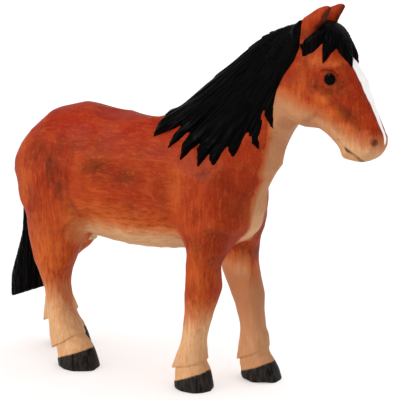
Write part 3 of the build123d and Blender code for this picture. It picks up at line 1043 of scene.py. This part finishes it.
def stained_wood():
    """Bay stain brushed over the grain, with the cream, charcoal and white paint, and painted shade and
    highlights.
    """
    look = Look("bay_stained_wood")
    upright = look.mark("upright")

    def grain(scale, detail, rough, lying, standing):
        """Noise drawn out along the body, or upright where the wood stands."""
        return look.lerp(
            upright,
            look.noise(scale, detail, rough, (lying, 1, 1)),
            look.noise(scale, detail, rough, (1, 1, standing)),
        )

    def about_zero(field, most):
        return look.times(look.math("SUBTRACT", field, 0.5), most)

    streak = grain(850, 5, 0.65, 0.24, 0.18)
    brush = grain(210, 6, 0.75, 0.6, 0.5)
    fine = grain(2200, 3, 0.65, 0.1, 0.1)
    patch = look.noise(48, 5, 0.62)
    blot = look.noise(120, 5, 0.68)
    speck = look.noise(1500, 2, 0.6)
    # painted shade in creases, round the eye and under the crest, with some darker stain, as a dark brown
    # layer
    shade_and_stain_amount = look.times(look.mark("shade_and_stain"), look.ramp(blot, 0.3, 0.6, 0.5, 1.0))
    # painted highlight, a light orange laid on the raised forms
    highlight_amount = look.times(look.mark("painted_highlight"), look.ramp(streak, 0.35, 0.6, 0.5, 1.0))
    bay = look.layers(
        (147, 38, 9),
        (look.ramp(patch, 0.3, 0.7), (166, 55, 15)),
        (look.ramp(blot, 0.5, 0.74, 0.0, 0.55), (128, 46, 16)),
        (look.times(look.mark("deep"), 0.8), (162, 32, 8)),
        (look.times(shade_and_stain_amount, 0.8), (92, 34, 10)),
        (look.times(highlight_amount, 0.85), (212, 108, 44)),
        (look.ramp(brush, 0.48, 0.68, 0.0, 0.4), (188, 74, 24)),
        (look.ramp(brush, 0.48, 0.3, 0.0, 0.4), (122, 26, 8)),
        (look.ramp(streak, 0.5, 0.68, 0.0, 0.34), (200, 90, 36)),
        (look.ramp(streak, 0.48, 0.3, 0.0, 0.4), (104, 24, 8)),
        (look.ramp(fine, 0.53, 0.7, 0.0, 0.4), (86, 26, 10)),
        (look.ramp(speck, 0.62, 0.74, 0.0, 0.32), (216, 124, 74)),
        # painted highlight on the ridges between knife cuts
        (look.ramp(look.mark("ridge_highlight"), 0.4, 0.95, 0.0, 0.12), (206, 92, 38)),
    )
    pale = look.layers(
        (206, 152, 104),
        (look.ramp(streak, 0.3, 0.7), (224, 174, 128)),
        (look.ramp(patch, 0.5, 0.68, 0.0, 0.5), (204, 138, 92)),
        (look.ramp(fine, 0.52, 0.75, 0.0, 0.35), (150, 94, 58)),
        # tan paint, and painted shade on the far front leg
        (look.times(look.mark("tan_and_shade"), 0.7), (178, 114, 76)),
    )
    edge = look.math("ADD", look.mark("cream"), about_zero(streak, 0.5))
    edge = look.math("ADD", edge, about_zero(blot, 0.4))
    between = look.times(look.ramp(edge, 0.04, 0.3), look.ramp(edge, 0.95, 0.45))
    colour = look.mix(look.ramp(edge, 0.06, 0.94), bay, pale)
    colour = look.mix(look.times(between, 0.36), colour, linear((208, 110, 52)))
    # painted shade in the hollows and narrow cuts, laid on as dark brown
    colour = look.mix(look.times(look.mark("hollow_shade"), 0.85), colour, linear((70, 24, 12)))
    horn = look.layers((16, 14, 13), (look.ramp(streak, 0.35, 0.65), (54, 47, 42)))
    colour = look.mix(look.mark("hoof"), colour, horn)
    chalk = look.mix(look.ramp(blot, 0.5, 0.75), linear((255, 253, 250), 1.0), linear((246, 238, 230), 1.0))
    colour = look.mix(look.mark("white"), colour, chalk)
    rough = look.ramp(look.math("ADD", streak, look.times(blot, 0.5)), 0.45, 1.0, 0.4, 0.62)
    look.bump(look.math("ADD", look.times(streak, 0.7), look.times(fine, 0.35)), 0.0004, 0.4)
    return look.finish(colour, rough, 0.07)


def black_paint():
    """Thick black paint, streaked along the hair."""
    look = Look("black_painted_wood")
    place = look.add("ShaderNodeCombineXYZ")
    look.put(place.inputs["X"], look.mark("across"))
    look.put(place.inputs["Y"], look.times(look.mark("along"), 0.07))
    streak = look.noise_at(place.outputs[0], 1.6, 4, 0.5)
    worn = look.noise(140, 4, 0.65)
    colour = look.layers(
        (1, 1, 1),
        (look.ramp(streak, 0.4, 0.65), (12, 10, 9)),
        (look.ramp(worn, 0.62, 0.8, 0.0, 0.45), (24, 17, 14)),
    )
    look.bump(look.math("ADD", streak, look.times(worn, 0.3)), 0.0005, 0.6)
    return look.finish(colour, look.ramp(worn, 0.3, 0.7, 0.3, 0.46), 0.022)


def eye_gloss():
    """The shinier black of the eyes."""
    look = Look("black_eye_peg")
    worn = look.noise(1500, 3, 0.6)
    look.bump(worn, 0.0002, 0.3)
    colour = look.layers((2, 2, 2), (look.ramp(worn, 0.4, 0.7), (11, 9, 9)))
    return look.finish(colour, look.ramp(worn, 0.3, 0.7, 0.2, 0.36), 0.03)


def bare_dowel():
    """Unpainted beech with its grain along the dowel's height."""
    look = Look("bare_dowel_wood")
    grain = look.noise(900, 4, 0.6, (1, 1, 0.08), 0.5)
    rings = look.noise(260, 2, 0.5, (1, 1, 0.1), 0.8)
    colour = look.layers(
        (206, 168, 118),
        (look.ramp(grain, 0.35, 0.65), (232, 204, 160)),
        (look.ramp(rings, 0.5, 0.7, 0.0, 0.5), (176, 128, 80)),
    )
    look.bump(grain, 0.0003, 0.5)
    return look.finish(colour, look.ramp(grain, 0.3, 0.7, 0.6, 0.75), 0.4)


# ---- pieces ----

def past_seam(p, seam):
    """Distance over a side-view seam, positive toward the nose and up."""
    (x1, z1), (x2, z2) = sorted(seam)
    run = math.hypot(x2 - x1, z2 - z1)
    across = np.array([z1 - z2, x2 - x1]) / run
    return (p[:, 0] - x1) * across[0] + (p[:, 2] - z1) * across[1]


def leg_part(p, name):
    """Signed distance to the space that a leg block fills, its seat in the trunk included."""
    x, z = p[:, 0], p[:, 2]
    out = p[:, 1] * (1 if "left" in name else -1)
    if "front" in name:
        inner, seat = MID_X - x, np.maximum(z - FRONT_SEAT_Z, FRONT_SEAT_BACK_X - x)
    else:
        seat_x = FAR_HIND_SEAT_X if "left" in name else NEAR_HIND_SEAT_X
        inner, seat = x - MID_X, np.maximum(z - HIND_SEAT_Z, x - seat_x)
    free = np.maximum(np.maximum(z - UNDER_BELLY_Z, inner), -out)
    return np.minimum(free, np.maximum(seat, CHEEK_Y - out))


def region(p, name):
    """Signed distance to the space of one block, by the same joints as the CAD."""
    if name.startswith("leg"):
        return leg_part(p, name)
    if name == "head":
        return -past_seam(p, HEAD_SEAM)
    if name == "neck":
        return np.maximum(past_seam(p, HEAD_SEAM), -past_seam(p, NECK_SEAM))
    rest = past_seam(p, NECK_SEAM)
    for leg in legs:
        rest = np.maximum(rest, -leg_part(p, "leg_" + leg))
    return rest


wood, black, eye_black, dowel_wood = stained_wood(), black_paint(), eye_gloss(), bare_dowel()

for node, low, high, voxel in (
    ("trunk", (-75, -23, 44), (37, 23, 107), 0.52),
    ("neck", (-14, -18, 68), (56, 18, 138), 0.5),
    ("head", (24, -13, 90), (88, 13, 150), 0.36),
    ("leg_front_right", (-1, -23, -1), (34, 0, 58), 0.42),
    ("leg_front_left", (4, 0, -1), (39, 23, 58), 0.42),
    ("leg_hind_right", (-76, -24, -1), (-26, 0, 60), 0.42),
    ("leg_hind_left", (-80, 0, -1), (-26, 24, 60), 0.42),
):
    def block(p, node=node):
        return np.maximum(horse(p), region(p, node) - LAP)

    verts, quads = surface_net(sample(block, low, high, voxel), low, voxel)
    outward = gradient(horse, verts)
    marks = paint(verts, outward)
    # painted highlight along the ridges between knife cuts
    marks["ridge_highlight"] = np.clip(knife_marks(verts) * 3.2 + 0.35, 0, 1)
    cut_face = evaluate(horse, verts) < -0.8 * voxel
    outward[cut_face] = gradient(block, verts[cut_face])
    carved_piece(node, verts, quads, outward, marks, wood)

for node, shape, run, low, high in (
    ("mane", mane_shape, mane_run, (-12, -18, 83), (58, 7, 145)),
    ("forelock", forelock_shape, forelock_run, (46, -15, 117), (82, 15, 147)),
    ("tail", tail_shape, tail_run, (-87, -9, 18), (-62, 9, 97)),
):
    verts, quads = surface_net(sample(shape, low, high, HAIR_VOXEL), low, HAIR_VOXEL)
    carved_piece(node, verts, quads, vertex_normals(verts, quads), run(verts), black)


# (radius, height) of the rings round a painted eye, from its back to the middle of its dome
EYE_RINGS = [
    (0.5, -1.4), (1.75, -1.4), (2.05, -0.4), (2.1, 0.0), (2.0, 0.22), (1.7, 0.38), (1.1, 0.52), (0.5, 0.58),
]
EYE_SIDES = 40


def eye_disc(name, side, node):
    """A shallow domed disc with a rolled edge, let into the socket."""
    bm = bmesh.new()
    turns = [2 * math.pi * k / EYE_SIDES for k in range(EYE_SIDES)]
    loops = [
        [bm.verts.new((radius * math.cos(a), radius * math.sin(a), height)) for a in turns]
        for radius, height in EYE_RINGS
    ]
    for one, two in zip(loops[:-1], loops[1:]):
        for k in range(EYE_SIDES):
            after = (k + 1) % EYE_SIDES
            bm.faces.new((one[k], one[after], two[after], two[k]))
    bm.faces.new(list(reversed(loops[0])))
    bm.faces.new(loops[-1])
    turn = Vector((0.10, side, 0.06)).normalized().to_track_quat("Z", "Y")
    home = Vector((EYE * (1, side, 1) + TO_ROW).tolist())
    for vert in bm.verts:
        vert.co = (turn @ vert.co + home) * MM
    mesh = bpy.data.meshes.new(name)
    bmesh.ops.recalc_face_normals(bm, faces=bm.faces)
    bm.to_mesh(mesh)
    bm.free()
    mesh.polygons.foreach_set("use_smooth", np.ones(len(mesh.polygons), bool))
    stand_for(node, name, mesh, eye_black)


eye_disc("painted_eye_right", -1, "eye_right")
eye_disc("painted_eye_left", 1, "eye_left")
for name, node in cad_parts.items():
    if "dowel" in name:
        for place in node.material_slots:
            place.material = dowel_wood

# ---- floor, light and camera ----

FLOOR_REACH = 6.0
FLOOR_PALE = (0.955, 0.955, 0.955, 1), (0.965, 0.965, 0.965, 1)
SKY_FADE = (0.12, 0.40, 1.0, 0.32)    # height where it begins and ends, strength below and above
VIEW_AZIMUTH, VIEW_ELEVATION, VIEW_DISTANCE = 32.0, 11.5, 0.675
VIEW_TARGET = np.array([7.35, 0.0, 70.5])
LENS, SENSOR = 159.5, 36.0

floor_mesh = bpy.data.meshes.new("floor")
corners = [(x * FLOOR_REACH, y * FLOOR_REACH, 0) for x, y in ((-1, -1), (1, -1), (1, 1), (-1, 1))]
floor_mesh.from_pydata(corners, [], [(0, 1, 2, 3)])
floor = bpy.data.objects.new("floor", floor_mesh)
scene.collection.objects.link(floor)
paper = Look("floor_paper")
floor_mesh.materials.append(paper.finish(paper.mix(paper.noise(40, 3, 0.5), *FLOOR_PALE), 0.9, 0.0))

world = bpy.data.worlds.new("studio")
scene.world = world
world.use_nodes = True
sky = world.node_tree
height = sky.nodes.new("ShaderNodeSeparateXYZ")
sky.links.new(sky.nodes.new("ShaderNodeTexCoord").outputs["Generated"], height.inputs[0])
fade = sky.nodes.new("ShaderNodeMapRange")
sky.links.new(height.outputs["Z"], fade.inputs["Value"])
for socket, value in zip(list(fade.inputs)[1:5], SKY_FADE):
    socket.default_value = value
sky.nodes["Background"].inputs["Color"].default_value = (1, 1, 1, 1)
sky.links.new(fade.outputs["Result"], sky.nodes["Background"].inputs["Strength"])


def direction(azimuth, elevation):
    """Unit direction from the horse, with azimuth 0 square to its right side and 90 ahead of it."""
    a, e = math.radians(azimuth), math.radians(elevation)
    return Vector((math.sin(a) * math.cos(e), -math.cos(a) * math.cos(e), math.sin(e)))


def soft_sun(name, azimuth, elevation, spread, strength, shadow=True):
    """An even wide light from one side of the horse."""
    lamp = bpy.data.lights.new(name, "SUN")
    lamp.angle = math.radians(spread)
    lamp.energy = strength
    lamp.use_shadow = shadow
    holder = bpy.data.objects.new(name, lamp)
    away = direction(azimuth, elevation)
    holder.location = away
    holder.rotation_euler = away.to_track_quat("Z", "Y").to_euler()
    scene.collection.objects.link(holder)


soft_sun("key", -30, 36, 12, 2.3, shadow=False)
soft_sun("top", 120, 80, 110, 1.2)

camera = bpy.data.cameras.new("camera")
camera.lens = LENS
camera.sensor_width = SENSOR
camera.clip_end = 50.0
eye = bpy.data.objects.new("camera", camera)
back = direction(VIEW_AZIMUTH, VIEW_ELEVATION)
eye.location = Vector(((VIEW_TARGET + TO_ROW) * MM).tolist()) + back * VIEW_DISTANCE
eye.rotation_euler = back.to_track_quat("Z", "Y").to_euler()
scene.collection.objects.link(eye)
bpy.context.scene.camera = eye
scene.view_settings.view_transform = "Standard"
